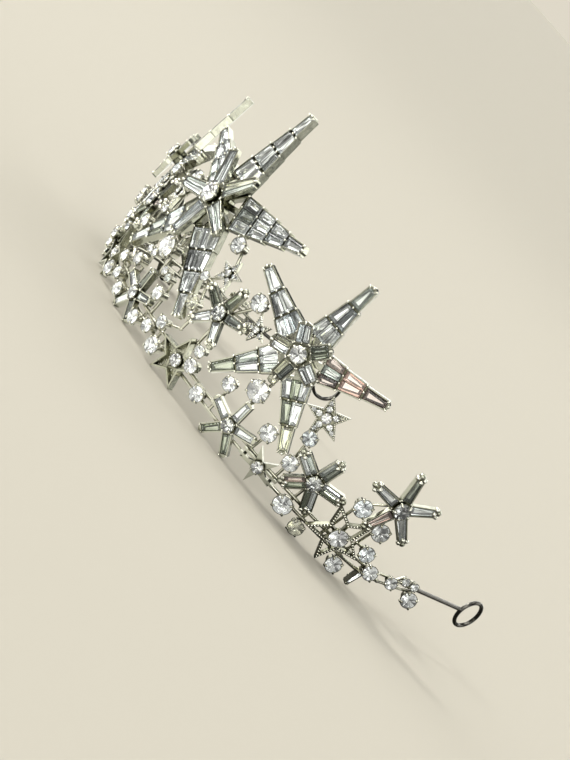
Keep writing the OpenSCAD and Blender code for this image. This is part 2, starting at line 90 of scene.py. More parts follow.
CENTRE_STAR = LargeStar(
    s=0, h=45.5, tip=90,
    rows=[Row(8.6, 15.3, 12, 10.4, 3), Row(15.7, 22.1, 9.8, 8.2, 3), Row(22.5, 29.1, 7.4, 5.6, 2),
          Row(29.5, 36.4, 4.4, 3.4, 1)],
    reach=37.2, over_row=Row(3.8, 15.4, 5.4, 3.8, 2), over_reach=16.6, lift=4, hub=6,
)
SIDE_STAR = LargeStar(
    s=57.6, h=37.9, tip=91,
    rows=[Row(6.6, 12.6, 9.4, 7.6, 3), Row(13, 20, 7, 5.2, 2), Row(20.4, 27.8, 4.4, 3.2, 1)],
    reach=28.7, over_row=Row(3.4, 8.8, 4.8, 4.4, 2), over_reach=9.8, lift=3.2, hub=5,
)
ARMS = 5
ARM_TURN = 72
LOW_CENTRE = Star(0, 8.3, 9.5, 90, 4, 3.3, 2.8, 1, 0)
LOW_SIDE = Star(58, 8.3, 9.5, 90, 4, 3.3, 2.8, 1, 0)
BALL_SIDE = Star(31.5, 26.5, 9.8, 89, 4.5, 3.5, 2.8, 1, 1)
LEAF_SIDE = Star(87.2, 16.5, 9.8, 84, 4.6, 4.2, 4, 2, 1)
END_SIDE = Star(110.2, 28.9, 11.6, 107, 5, 3.7, 2.8, 1, 1)
RELIEF_SIDE = Plate(31.1, 7.6, 8.8, 91, 4)
PAVED_SIDE = Plate(42.9, 32.2, 4.4, 54, 2)
HIGH_SIDE = Plate(75.4, 31.5, 7, 120, 3)
BAR_SIDE = Plate(72.9, 7, 6.3, 270, 3.6)
OPEN_SIDE = Plate(104.8, 10.4, 10.4, 62, 5.8)
DOTTED_SIDE = Plate(23.1, 35.5, 5, 90, 2)
# The single baguette that points down from the base wires
DOWN_ROW = Row(0.6, 5.6, 2.2, 1.6, 1)
DOWN_PLACE = (121.5, 7)
DOWN_OUT = -0.3

# Round stones: the large ones under the hubs, and those along the base
CENTRE_DROP = Stone(0, 25.7, 7)
SIDE_DROP = Stone(57, 22.2, 6.7)
FRONT_STONES = [Stone(*row) for row in [
    (7.9, 4.4, 4.6), (14.9, 6.6, 4.2), (21.8, 4.6, 5.2), (9.5, 15, 4.3), (18.5, 11.2, 4),
    (5, 20.5, 2.7), (8.2, 20, 2.7), (22.4, 22.6, 4.5), (18.6, 29.5, 3), (18.7, 42.9, 5),
    (38, 37.8, 5.3), (35.6, 15.4, 3.6),
]]
SHOULDER_STONES = [Stone(*row) for row in [
    (44.5, 6.9, 4.8), (49.5, 16.6, 4.5), (57, 27.1, 2.4), (67.7, 16.4, 5.2),
]]
SIDE_STONES = [Stone(*row) for row in [
    (78.2, 15.4, 4.8), (76.5, 24.6, 4.6), (86, 5.4, 5.8), (94, 3.4, 4.8), (101.8, 21.5, 5.6),
    (112.2, 19.8, 5.4), (116.1, 12, 4.8), (111.9, 2.9, 5), (123.4, 8.3, 4.6), (133.4, 9.8, 3.8),
    (137.7, 12.8, 2.5), (143.5, 13, 2.5), (149.1, 8.3, 5),
]]
# Turn of the wall past which round stones turn no further back
END_FACE = math.radians(73)
# Claws of a cup, and the diameters over which a stone has six in a cup and five in a flat star
CUP_CLAWS = 4
CUP_CLAW_TURN = 45
SIX_CLAW_D = 6
FIVE_CLAW_D = 3

# Relief star: the stone on its arm, its sunk face, and the grains scattered there
RELIEF_STONE = Stone(37.6, 11.2, 4.4)
RELIEF_OUT = 1.4
RELIEF_EDGE = 0.84
RELIEF_HUB = 1.7
RELIEF_SLOPE = 0.3
GRAIN_START = 0.4
GRAIN_END = 0.8
GRAIN_PITCH = 0.55
GRAIN_SPREAD = 0.2
GRAINS_ACROSS = 4
GRAIN_LEVEL = 0.82
LEAST_GRAIN = 0.12
LARGEST_GRAIN = 0.26

# Paved stars: waist and sunk edge in shares of the reach, level of the face, and how its stones run
PAVED_WAIST = 0.44
PAVED_EDGE = 0.8
PLATE_FACE = 0.8
FIRST_PAVED = 0.26
PAVED_SHRINK = 0.78
PAVED_STEP = 0.9
PAVED_GAP = 0.14
OPEN_WAIST = 0.46

# Levels of a round stone's widest place: a fixed part, and in a cup a share of its diameter
CUP_RISE = 1.3
CUP_SHARE = 0.3
HUB_RISE = 0.9
SMALL_HUB_RISE = 1.2
# Room that a small star's stones leave at its hub and its tips
HUB_ROOM = 0.3
TIP_ROOM = 0.9


# Places on the wall: s is the way along it from the middle of the front, h the height
def wall_turn(s):
    """Turn of the wall's face away from straight ahead, in radians."""
    if s <= FRONT_RUN:
        return s / FRONT_R
    return FRONT_TURN + (s - FRONT_RUN) / SIDE_R


def wall_lean(h):
    """Lean of the wall, which faces a little downwards over its lowest stretch."""
    return math.atan(FLARE / FLARE_H) if h < FLARE_H else 0


def wall_spot(s, h, out=0):
    """Place on the wall, or that far out of it."""
    turn = wall_turn(abs(s))
    if abs(s) <= FRONT_RUN:
        foot = Vector((FRONT_R * math.sin(turn), -FRONT_R * math.cos(turn)))
    else:
        foot = Vector((SIDE_X + SIDE_R * math.sin(turn), SIDE_Y - SIDE_R * math.cos(turn)))
    lean = wall_lean(h)
    reach = out * math.cos(lean) - FLARE * (1 - min(h, FLARE_H) / FLARE_H)
    x = foot.x + reach * math.sin(turn)
    y = foot.y - reach * math.cos(turn) + ORIGIN_Y
    return Vector((x if s >= 0 else -x, y, h - out * math.sin(lean)))


def wall_face(s, h):
    """Direction that the wall faces."""
    turn = wall_turn(abs(s))
    lean = wall_lean(h)
    x = math.sin(turn) * math.cos(lean)
    return Vector((x if s >= 0 else -x, -math.cos(turn) * math.cos(lean), -math.sin(lean)))


def seat_on_wall(s, h, out=0):
    """Seat of a flat setting: X along the wall, Y up it, Z out of it."""
    turn = Matrix.Rotation(wall_turn(s), 4, "Z")
    lean = Matrix.Rotation(math.pi / 2 + wall_lean(h), 4, "X")
    return Matrix.Translation(wall_spot(s, h, out)) @ turn @ lean


def seat_of_stone(stone):
    """Seat of a round stone. Past END_FACE it stands level and turns no further back."""
    turn = wall_turn(stone.s)
    lean = 0 if turn > END_FACE else wall_lean(stone.h)
    faced = Matrix.Rotation(min(turn, END_FACE), 4, "Z") @ Matrix.Rotation(math.pi / 2 + lean, 4, "X")
    return Matrix.Translation(wall_spot(stone.s, stone.h)) @ faced


def seat_of_channel(star, k):
    """Seat of a large star's arm, whose hub and tip both lie on the wall: X along the arm."""
    angle = math.radians(star.tip + ARM_TURN * k)
    tip_s = star.s + star.reach * math.cos(angle)
    tip_h = star.h + star.reach * math.sin(angle)
    start = wall_spot(star.s, star.h)
    ahead = (wall_spot(tip_s, tip_h) - start).normalized()
    face = wall_face((star.s + tip_s) / 2, (star.h + tip_h) / 2)
    across = face.cross(ahead).normalized()
    up = ahead.cross(across)
    turned = Matrix((ahead, across, up)).transposed().to_4x4()
    return Matrix.Translation(start) @ turned @ Matrix.Translation((0, 0, STAR_OUT))


def spin(angle):
    """Turn in the plane of a seat, in degrees."""
    return Matrix.Rotation(math.radians(angle), 4, "Z")


def seat_of_arm(star, k):
    """Seat of arm k of a flat star: X along the arm."""
    return seat_on_wall(star.s, star.h) @ spin(star.tip + ARM_TURN * k)


def seat_in_front(star):
    """Seat of the smaller star that stands in front of a large one's hub."""
    return seat_on_wall(star.s, star.h, STAR_OUT + star.lift)


def seat_of_over_arm(star, k):
    """Seat of arm k of that smaller star, between the large one's arms."""
    return seat_in_front(star) @ spin(star.tip + ARM_TURN / 2 + ARM_TURN * k)


PLAIN_TONE = (1, 1, 1)


class Bench:
    """Gathers the faces of one piece in millimetres, on whichever seat is set."""

    def __init__(self, mirrored=False):
        self.points = []
        self.faces = []
        self.finishes = []
        self.smooth = []
        self.tones = []
        self.seat = Matrix.Identity(4)
        self.mirrored = mirrored
        self.tone = PLAIN_TONE

    def add(self, points, faces, finishes, smooth, tones=None):
        """Adds faces with one finish each, all in the bench's tone or each in its own."""
        first = len(self.points)
        for point in points:
            place = self.seat @ Vector(point)
            if self.mirrored:
                place.x = -place.x
            self.points.append(place * MM)
        for face, finish in zip(faces, finishes):
            corners = [first + i for i in face]
            if self.mirrored:
                corners.reverse()
            self.faces.append(corners)
            self.finishes.append(finish)
            self.smooth.append(smooth)
        self.tones += tones or [self.tone] * len(faces)

    def stack(self, rings, finishes=(0,), smooth=False, shades=(1,)):
        """Skins rings of points from the lowest up, with a finish for each band, and caps the ends.

        Each side of the stack shows its own share of the bench's tone, as painted shade.
        """
        count = len(rings[0])
        points = [p for ring in rings for p in ring]
        faces = [tuple(reversed(range(count)))]
        kinds = [finishes[0]]
        shares = [1]
        for level in range(len(rings) - 1):
            low = level * count
            for i in range(count):
                j = (i + 1) % count
                faces.append((low + i, low + j, low + count + j, low + count + i))
                kinds.append(finishes[min(level, len(finishes) - 1)])
                shares.append(shades[i % len(shades)])
        faces.append(tuple(range(len(points) - count, len(points))))
        kinds.append(finishes[-1])
        shares.append(1)
        tones = [tuple(share * part for part in self.tone) for share in shares]
        self.add(points, faces, kinds, smooth, tones)

    def turned(self, profile, sides, centre):
        """Turns a profile of (radius, level) round an upright axis, from its lowest point up."""
        points = []
        rows = []
        for radius, level in profile:
            count = 1 if radius < 1e-6 else sides
            rows.append(list(range(len(points), len(points) + count)))
            for i in range(count):
                angle = 2 * math.pi * i / sides
                x = centre[0] + radius * math.cos(angle)
                points.append((x, centre[1] + radius * math.sin(angle), level))
        faces = []
        for low, high in zip(rows, rows[1:]):
            for i in range(sides):
                j = (i + 1) % sides
                corners = [low[i % len(low)], low[j % len(low)]]
                corners += [high[j % len(high)], high[i % len(high)]]
                faces.append(tuple(dict.fromkeys(corners)))
        self.add(points, faces, [0] * len(faces), True)

    def bead(self, x, y, z, radius, sides=10):
        """Round bead with its middle at a place."""
        steps = 6
        angles = [math.pi * (k / steps - 0.5) for k in range(steps + 1)]
        profile = [(radius * math.cos(a), z + radius * math.sin(a)) for a in angles]
        self.turned(profile, sides, (x, y))

    def wire(self, path, radii):
        """Round wire along a path, with its own radius at each point."""
        sides = 6
        path = [Vector(point) for point in path]
        rings = []
        side = (path[1] - path[0]).orthogonal()
        for k, point in enumerate(path):
            ahead = (path[min(k + 1, len(path) - 1)] - path[max(k - 1, 0)]).normalized()
            side = (side - ahead * side.dot(ahead)).normalized()
            other = ahead.cross(side)
            angles = [2 * math.pi * i / sides for i in range(sides)]
            rays = [math.cos(a) * side + math.sin(a) * other for a in angles]
            rings.append([point + radii[k] * ray for ray in rays])
        self.stack(rings, smooth=True)

    def make(self, name, slot, finishes, replaced=()):
        """Makes the piece from what is on the bench, and lets it ride on the tiara."""
        mesh = bpy.data.meshes.new(name)
        mesh.from_pydata(self.points, [], self.faces)
        for finish in finishes:
            mesh.materials.append(finish)
        mesh.polygons.foreach_set("material_index", self.finishes)
        mesh.polygons.foreach_set("use_smooth", self.smooth)
        # Each face's tone, with its painted facet shade
        tone = mesh.attributes.new("stone_tone_and_painted_sparkle", "FLOAT_COLOR", "FACE")
        tone.data.foreach_set("color", [c for t in self.tones for c in (*t, 1)])
        mesh.update()
        piece = bpy.data.objects.new(name, mesh)
        bpy.context.scene.collection.objects.link(piece)
        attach(piece, "root")
        if replaced:
            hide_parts(*replaced)


# Finishes of a stone's faces: the clear top, and the silvered back
CLEAR = 0
FOILED = 1

# Tones of the silvered backs, and families that say how often each one comes up
WHITE = (0.98, 0.99, 0.99)
GREY = (0.70, 0.73, 0.70)
CREAM = (0.86, 0.85, 0.72)
OLIVE = (0.52, 0.55, 0.45)
DEEP = (0.33, 0.35, 0.30)
ROSE = (0.92, 0.76, 0.70)
DUSKY_ROSE = (0.66, 0.57, 0.53)
BLUE = (0.90, 0.93, 0.95)
TONE_FAMILIES = {
    "mixed": {WHITE: 24, GREY: 10, CREAM: 5, OLIVE: 4, DEEP: 2, BLUE: 2},
    "bright": {WHITE: 18, GREY: 1, CREAM: 1, BLUE: 2},
    "olive": {WHITE: 9, GREY: 6, OLIVE: 5, DEEP: 3, DUSKY_ROSE: 1},
    "rose": {WHITE: 3, ROSE: 4, DUSKY_ROSE: 3, GREY: 2},
}
# Family of each arm, from the arm at the tip's angle on
SIDE_ARMS = ["mixed", "bright", "olive", "mixed", "rose"]
CENTRE_ARMS = ["bright", "bright", "mixed", "bright", "bright"]
# Shares of its tone that a long side and an end of a baguette's back show: painted highlights and
# painted shade, for sparkle
SIDE_SHADES = [1, 1, 0.8, 0.35]
END_SHADE = 0.7
# Shares of its tone that a facet at the back of a round stone shows: painted highlights and painted
# shade, for sparkle
FACET_SHADES = [1, 1, 0.9, 0.7, 0.45, 0.25]
# The order of the draws fixes every stone
draw = random.Random(7)

# A baguette's silvered back, from its keel up: how far each ring lies in from the ends, in from the
# sides as a share of half the width, over the keel, and how much of the keel's shift it takes
BackRing = namedtuple("BackRing", "end side rise shift")
BACK_RINGS = [BackRing(1, 0.88, 0, 1), BackRing(0.6, 0.5, 0.25, 0.6), BackRing(0.3, 0.22, 0.6, 0.2)]
# Its stepped top, from the widest place up: shares of half the width, and the depth under the face
TopRing = namedtuple("TopRing", "end side depth")
TOP_RINGS = [
    TopRing(0, 0, 0.6), TopRing(0, 0, 0.45), TopRing(0.16, 0.18, 0.22), TopRing(0.34, 0.38, 0.06),
    TopRing(0.52, 0.58, 0),
]
# How far a keel may lie to one side, as a share of half the width, and over the setting's floor
KEEL_SHIFT = 0.35
KEEL_LEAST = 0.1
KEEL_MOST = 0.5

# Rings of a round stone's corners: radius and level over its widest place, in shares of its diameter
TABLE_RING = (0.28, 0.17)
STAR_RING = (0.4, 0.109)
GIRDLE_RING = (0.5, 0.02)
GIRDLE_FOOT = (0.5, -0.02)
BACK_RING = (0.13, -0.278)
POINT_DEPTH = 0.36


def pick_tone(family):
    """Draws a stone's tone from a family."""
    tones = TONE_FAMILIES[family]
    return draw.choices(list(tones), list(tones.values()))[0]


def cut_baguette(bench, row, k, t):
    """Step-cut stone k of a row: a silvered back with a keel along it, and a stepped clear top."""
    low = k / row.stones - 0.5
    high = (k + 1) / row.stones - 0.5
    w_in = row.w_in - 2 * RIM
    w_out = row.w_out - 2 * RIM
    half = w_out / row.stones / 2 - FIT
    shift = draw.uniform(-KEEL_SHIFT, KEEL_SHIFT) * half
    keel = FLOOR_T + draw.uniform(KEEL_LEAST, KEEL_MOST)
    # The long sides and ends of the back take painted shade drawn at random
    shades = [draw.choice(SIDE_SHADES), END_SHADE, draw.choice(SIDE_SHADES), END_SHADE]

    def ring(end, side, z, aside=0.0):
        x_in = row.r_in + END_WALL + FIT + end
        x_out = row.r_out - END_WALL - FIT - end
        cut = FIT + side
        return [
            (x_in, w_in * low + cut + aside, z), (x_out, w_out * low + cut + aside, z),
            (x_out, w_out * high - cut + aside, z), (x_in, w_in * high - cut + aside, z),
        ]

    top = t + PROUD
    rings = [ring(b.end, half * b.side, keel + b.rise, shift * b.shift) for b in BACK_RINGS]
    rings += [ring(half * r.end, half * r.side, top - r.depth) for r in TOP_RINGS]
    finishes = [FOILED] * len(BACK_RINGS) + [CLEAR] * (len(TOP_RINGS) - 1)
    bench.stack(rings, finishes, shades=shades)


def cut_row(bench, row, t, family="mixed"):
    """Baguettes side by side in one row of a setting with the thickness t."""
    for k in range(row.stones):
        bench.tone = pick_tone(family)
        cut_baguette(bench, row, k, t)


def cut_brilliant(bench, d, z):
    """Round stone, widest at the level z: table, stars, kites and a pointed silvered back."""
    def around(count, ring, start=0.0):
        radius, level = ring
        angles = [2 * math.pi * (i + start) / count for i in range(count)]
        return [(radius * d * math.cos(a), radius * d * math.sin(a), z + level * d) for a in angles]

    points = around(8, TABLE_RING) + around(8, STAR_RING, 0.5) + around(16, GIRDLE_RING)
    points += around(16, GIRDLE_FOOT) + around(8, BACK_RING, 0.5) + [(0, 0, z - POINT_DEPTH * d)]
    table, stars, upper, lower, mains, point = 0, 8, 16, 32, 48, 56
    faces = [tuple(range(8))]
    for i in range(8):
        j = (i + 1) % 8
        a, b, c = upper + 2 * i, upper + 2 * i + 1, upper + 2 * j
        faces += [
            (table + i, stars + i, table + j),
            (table + j, stars + i, c, stars + j),
            (stars + i, a, b), (stars + i, b, c),
        ]
    clear = len(faces)
    for i in range(16):
        j = (i + 1) % 16
        faces.append((upper + i, lower + i, lower + j, upper + j))
    for i in range(8):
        j = (i + 1) % 8
        a, b, c = lower + 2 * i, lower + 2 * i + 1, lower + 2 * j
        faces += [(mains + i, b, a), (mains + i, c, b), (point, mains + j, c, mains + i)]
    finishes = [CLEAR] * clear + [FOILED] * (len(faces) - clear)
    # Each facet takes a painted share of light, drawn at random
    shades = [draw.choice(FACET_SHADES) for _ in faces]
    tones = [tuple(shade * part for part in bench.tone) for shade in shades]
    bench.add(points, faces, finishes, False, tones)


# Claw over a round stone, from its foot up: radius as a share of the stone's diameter and a fixed
# part, level as a share of the diameter, and thickness as a share of the claw's own
ClawPoint = namedtuple("ClawPoint", "radius off level thick")
CLAW_POINTS = [
    ClawPoint(0.36, 0, -0.26, 1), ClawPoint(0.5, 0.16, -0.07, 1), ClawPoint(0.5, 0.2, 0.03, 1),
    ClawPoint(0.47, 0, 0.1, 0.95), ClawPoint(0.41, 0, 0.14, 0.8), ClawPoint(0.38, 0, 0.14, 0.35),
]
CLAW_SHARE = 0.085
THINNEST_CLAW = 0.24
THICKEST_CLAW = 0.42


def bend_claws(bench, d, z, count, turn):
    """Claws that stand on a cup's side and bend over its round stone."""
    thick = min(THICKEST_CLAW, max(THINNEST_CLAW, CLAW_SHARE * d))
    for k in range(count):
        angle = math.radians(turn + 360 * k / count)
        path = []
        for p in CLAW_POINTS:
            radius = p.radius * d + p.off
            path.append((radius * math.cos(angle), radius * math.sin(angle), z + p.level * d))
        bench.wire(path, [p.thick * thick for p in CLAW_POINTS])


def girdle(d):
    """Level of a round stone's widest place in its cup."""
    return CUP_RISE + CUP_SHARE * d


def hub_level(d):
    """Level of the widest place of a large star's hub stone, whose point clears the casting."""
    return HUB_RISE + POINT_DEPTH * d


def small_hub(star):
    """Level of the widest place of a small star's hub stone."""
    return SMALL_HUB_RISE + POINT_DEPTH * star.hub


def small_row(star):
    """The one row of stones on each arm of a small star."""
    return Row(star.hub / 2 + HUB_ROOM, star.reach - TIP_ROOM, star.arm_in, star.arm_out, star.across)


# Claw with a round head between stones: the angles that its head goes through, from its post to its
# top, how far it stands before the first row, past each row and in from the sides, its head's rise
# over the setting, its post as a share of the head, and how deep the post sinks into the bar
HEAD_ANGLES = [math.radians(angle) for angle in (-55, -15, 20, 55, 90)]
HEAD_BEFORE = 0.05
HEAD_PAST = 0.2
HEAD_INSET = 0.5
HEAD_RISE = 0.06
HEAD_SIDES = 8
POST_SHARE = 0.6
POST_SINK = 0.1
# Heads on the large stars, the smaller stars in front, the small stars and the single baguette
LARGE_HEAD = 0.4
OVER_HEAD = 0.34
SMALL_HEAD = 0.32
DOWN_HEAD = 0.3


def row_beads(bench, rows, t, radius):
    """Claws with round heads that hold the corners of the stones, along the end of each row."""
    foot = t - BAR_DROP - POST_SINK
    profile = [(0, foot), (POST_SHARE * radius, foot)]
    profile += [(radius * math.cos(a), t + HEAD_RISE + radius * math.sin(a)) for a in HEAD_ANGLES]
    for n, row in enumerate(rows):
        ends = [(row.r_in - HEAD_BEFORE, row.w_in)] if n == 0 else []
        ends.append((row.r_out + HEAD_PAST, row.w_out))
        for x, width in ends:
            for k in range(row.stones + 1):
                y = (width - HEAD_INSET) * (k / row.stones - 0.5)
                bench.turned(profile, HEAD_SIDES, (x, y))


# Tip of a large star's arm: its bead, and a prong that bends over each corner of the last stone, as
# how far past the stone, as a share of the way to its side and over the setting
TIP_BEAD_IN = 0.35
TIP_BEAD_R = 0.5
PRONG_IN = 0.2
PRONG_PATH = [(0.3, 1, -0.4), (0.2, 0.9, 0.2), (-0.5, 0.6, 0.3)]
PRONG_RADII = [0.3, 0.28, 0.12]
# Bead at the tip of an arm of the smaller star in front
OVER_BEAD_IN = 0.4
OVER_BEAD_DROP = 0.1
OVER_BEAD_R = 0.45


def tip_claw(bench, last, reach, t):
    """Small claw over the tip of an arm."""
    bench.bead(reach - TIP_BEAD_IN, 0, t, TIP_BEAD_R)
    for side in (-1, 1):
        y = side * (last.w_out / 2 - PRONG_IN)
        path = [(last.r_out + past, y * share, t + rise) for past, share, rise in PRONG_PATH]
        bench.wire(path, PRONG_RADII)


# Beads round the ball at a small star's tip
TipBead = namedtuple("TipBead", "inward aside level radius")
TIP_BEADS = [
    TipBead(0.6, -1.2, SMALL_T / 2 + 0.4, 0.78), TipBead(0.6, 1.2, SMALL_T / 2 + 0.4, 0.78),
    TipBead(1.5, 0, SMALL_T + 0.2, 0.72),
]


def tip_beads(bench, star):
    """Three beads round the ball at each tip."""
    for bead in TIP_BEADS:
        bench.bead(star.reach - bead.inward, bead.aside, bead.level, bead.radius)


def star_points(reach, waist):
    """Corners of a star, from a tip on: its tips, and the corners of its waist between them."""
    corners = []
    for k in range(2 * ARMS):
        radius = reach if k % 2 == 0 else waist
        angle = math.radians(ARM_TURN / 2 * k)
        corners.append((radius * math.cos(angle), radius * math.sin(angle)))
    return corners


def large_star_stones(bench, star, families):
    """Rows of baguettes down each arm, each arm with its own family of tones."""
    for k, family in enumerate(families):
        bench.seat = seat_of_channel(star, k)
        for row in star.rows:
            cut_row(bench, row, CHANNEL_T, family)


def overlay_stones(bench, star):
    """Two baguettes on each arm of the smaller star in front."""
    for k in range(ARMS):
        bench.seat = seat_of_over_arm(star, k)
        cut_row(bench, star.over_row, OVER_T)


def large_star_fittings(bench, star):
    """Claws and beads of a large star and of the smaller one in front."""
    for k in range(ARMS):
        bench.seat = seat_of_channel(star, k)
        row_beads(bench, star.rows, CHANNEL_T, LARGE_HEAD)
        tip_claw(bench, star.rows[-1], star.reach, CHANNEL_T)
        bench.seat = seat_of_over_arm(star, k)
        row_beads(bench, [star.over_row], OVER_T, OVER_HEAD)
        bench.bead(star.over_reach - OVER_BEAD_IN, 0, OVER_T - OVER_BEAD_DROP, OVER_BEAD_R)
    bench.seat = seat_in_front(star)
    bend_claws(bench, star.hub, hub_level(star.hub), ARMS, star.tip)


def small_star_stones(bench, star):
    """Baguettes and hub stone of a small star."""
    for k in range(ARMS):
        bench.seat = seat_of_arm(star, k)
        cut_row(bench, small_row(star), SMALL_T, "olive")
    bench.seat = seat_on_wall(star.s, star.h)
    bench.tone = PLAIN_TONE
    cut_brilliant(bench, star.hub, small_hub(star))


def small_star_fittings(bench, star):
    """Claws of a small star, and the beads at its tips."""
    for k in range(ARMS):
        bench.seat = seat_of_arm(star, k)
        row_beads(bench, [small_row(star)], SMALL_T, SMALL_HEAD)
        if star.balls:
            tip_beads(bench, star)
    bench.seat = seat_on_wall(star.s, star.h)
    bend_claws(bench, star.hub, small_hub(star), ARMS, star.tip + ARM_TURN / 2)


def plate_level(plate):
    """Level of the widest place of the stone in a flat star."""
    return RELIEF_HUB if plate == RELIEF_SIDE else small_hub(plate)


def plate_stone(bench, plate):
    """Round stone at the hub of a flat star."""
    bench.seat = seat_on_wall(plate.s, plate.h)
    bench.tone = PLAIN_TONE
    cut_brilliant(bench, plate.hub, plate_level(plate))


def plate_claws(bench, plate):
    """Claws over the stone at the hub of a flat star."""
    bench.seat = seat_on_wall(plate.s, plate.h)
    count = 5 if plate.hub > FIVE_CLAW_D else CUP_CLAWS
    bend_claws(bench, plate.hub, plate_level(plate), count, plate.tip + ARM_TURN / 2)


def set_stones(bench, stones):
    """Round stones in their cups."""
    for stone in stones:
        bench.seat = seat_of_stone(stone)
        bench.tone = pick_tone("bright")
        cut_brilliant(bench, stone.d, girdle(stone.d))


def set_claws(bench, stones):
    """Claws that stand on the cups and bend over their stones."""
    for stone in stones:
        bench.seat = seat_of_stone(stone)
        count = 6 if stone.d > SIX_CLAW_D else CUP_CLAWS
        bend_claws(bench, stone.d, girdle(stone.d), count, CUP_CLAW_TURN)


# Grain of metal at each side of a paved stone: its gap, then its path as a share of the way aside and
# a rise in shares of the stone, and its thickness. A smaller grain lies past the stone
GRAIN_GAP = 0.06
GRAIN_PATH = [(1, 0), (1, 0.42), (0.8, 0.52)]
GRAIN_RADII = [0.2, 0.2, 0.12]
PAST_GRAIN_GAP = 0.04
PAST_GRAIN_ASIDE = 0.35
PAST_GRAIN_RISE = 0.4
PAST_GRAIN_R = 0.18
GRAIN_SIDES = 6


def pave(stones, metal, plate):
    """Round stones down each arm of a star's sunk face, smaller outwards, between grains of metal."""
    for k in range(ARMS):
        seat = seat_of_arm(plate, k)
        metal.seat = seat
        size = FIRST_PAVED * plate.reach
        x = plate.hub / 2 + HUB_ROOM + size / 2
        while x + size / 2 < PAVED_EDGE * plate.reach:
            stones.seat = seat @ Matrix.Translation((x, 0, 0))
            stones.tone = pick_tone("bright")
            cut_brilliant(stones, size, PLATE_FACE + POINT_DEPTH * size)
            for side in (-1, 1):
                y = side * (size / 2 + GRAIN_GAP)
                path = [(x, share * y, PLATE_FACE + rise * size) for share, rise in GRAIN_PATH]
                metal.wire(path, GRAIN_RADII)
                past = x + size / 2 + PAST_GRAIN_GAP
                level = PLATE_FACE + PAST_GRAIN_RISE * size
                metal.bead(past, PAST_GRAIN_ASIDE * y, level, PAST_GRAIN_R, GRAIN_SIDES)
            x += PAVED_STEP * size + PAVED_GAP
            size *= PAVED_SHRINK
    mill_edge(metal, plate, PAVED_WAIST, (1 + PAVED_EDGE) / 2, level=1.2, radius=0.26, pitch=0.62)


def mill_edge(bench, plate, waist, share, level, radius, pitch):
    """Row of beads along a star's edge, on an outline that is a share of the star's own."""
    bench.seat = seat_on_wall(plate.s, plate.h) @ spin(plate.tip)
    corners = star_points(share * plate.reach, share * waist * plate.reach)
    for a, b in zip(corners, corners[1:] + corners[:1]):
        length = math.dist(a, b)
        count = max(2, round(length / pitch))
        for n in range(count):
            part = n / count
            x = a[0] + part * (b[0] - a[0])
            y = a[1] + part * (b[1] - a[1])
            bench.bead(x, y, level, radius, HEAD_SIDES)


def relief_face(bench, plate):
    """Grains scattered over the sunk face of the relief star."""
    end = RELIEF_EDGE * plate.reach
    for k in range(ARMS):
        bench.seat = seat_of_arm(plate, k)
        x = plate.hub / 2 + GRAIN_START
        while x < end - GRAIN_END:
            width = (end - x) * RELIEF_SLOPE
            for _ in range(GRAINS_ACROSS):
                grain = draw.uniform(LEAST_GRAIN, LARGEST_GRAIN)
                along = x + draw.uniform(-GRAIN_SPREAD, GRAIN_SPREAD)
                bench.bead(along, draw.uniform(-width, width), GRAIN_LEVEL, grain, GRAIN_SIDES)
            x += GRAIN_PITCH


# Materials
def add_node(tree, kind, place, **settings):
    """Adds a node at a place in its tree's layout."""
    made = tree.nodes.new(kind)
    made.location = place
    for name, value in settings.items():
        setattr(made, name, value)
    return made


def new_group(name, inputs, outputs):
    """Shader node group with named inputs, given as (name, kind, value), and outputs."""
    group = bpy.data.node_groups.new(name, "ShaderNodeTree")
    for label, kind, value in inputs:
        socket = group.interface.new_socket(name=label, in_out="INPUT", socket_type=kind)
        socket.default_value = value
    for label, kind in outputs:
        group.interface.new_socket(name=label, in_out="OUTPUT", socket_type=kind)
    start = add_node(group, "NodeGroupInput", (-900, 0))
    end = add_node(group, "NodeGroupOutput", (600, 0))
    return group, start, end


def recess_shade():
    """Painted shade that gathers where metal and stones stand close together, broken up by fine noise.
    """
    group, start, end = new_group(
        "recess_shade",
        [("Openness", "NodeSocketFloat", 1.0), ("Depth", "NodeSocketFloat", 0.6),
         ("Open Color", "NodeSocketColor", (0.8, 0.8, 0.78, 1)),
         ("Recess Color", "NodeSocketColor", (0.2, 0.19, 0.14, 1))],
        [("Color", "NodeSocketColor")],
    )
    link = group.links.new
    closed = add_node(group, "ShaderNodeMath", (-300, 100), operation="SUBTRACT")
    closed.inputs[0].default_value = 1
    link(start.outputs["Openness"], closed.inputs[1])
    shade_noise = add_node(group, "ShaderNodeTexNoise", (-500, -150))
    shade_noise.inputs["Scale"].default_value = 900
    shade_noise.inputs["Detail"].default_value = 3
    place = add_node(group, "ShaderNodeNewGeometry", (-700, -150))
    link(place.outputs["Position"], shade_noise.inputs["Vector"])
    broken = add_node(group, "ShaderNodeMapRange", (-300, -150))
    broken.inputs["From Min"].default_value = 0.3
    broken.inputs["From Max"].default_value = 0.7
    broken.inputs["To Min"].default_value = 0.6
    broken.inputs["To Max"].default_value = 1.2
    link(shade_noise.outputs["Fac"], broken.inputs["Value"])
    product = add_node(group, "ShaderNodeMath", (-100, 0), operation="MULTIPLY")
    link(closed.outputs[0], product.inputs[0])
    link(broken.outputs["Result"], product.inputs[1])
    mask = add_node(group, "ShaderNodeMath", (80, 0), operation="MULTIPLY", use_clamp=True)
    link(product.outputs[0], mask.inputs[0])
    link(start.outputs["Depth"], mask.inputs[1])
    tint = add_node(group, "ShaderNodeMix", (260, 0), data_type="RGBA")
    link(mask.outputs[0], tint.inputs["Factor"])
    link(start.outputs["Open Color"], tint.inputs["A"])
    link(start.outputs["Recess Color"], tint.inputs["B"])
    link(tint.outputs["Result"], end.inputs["Color"])
    return group


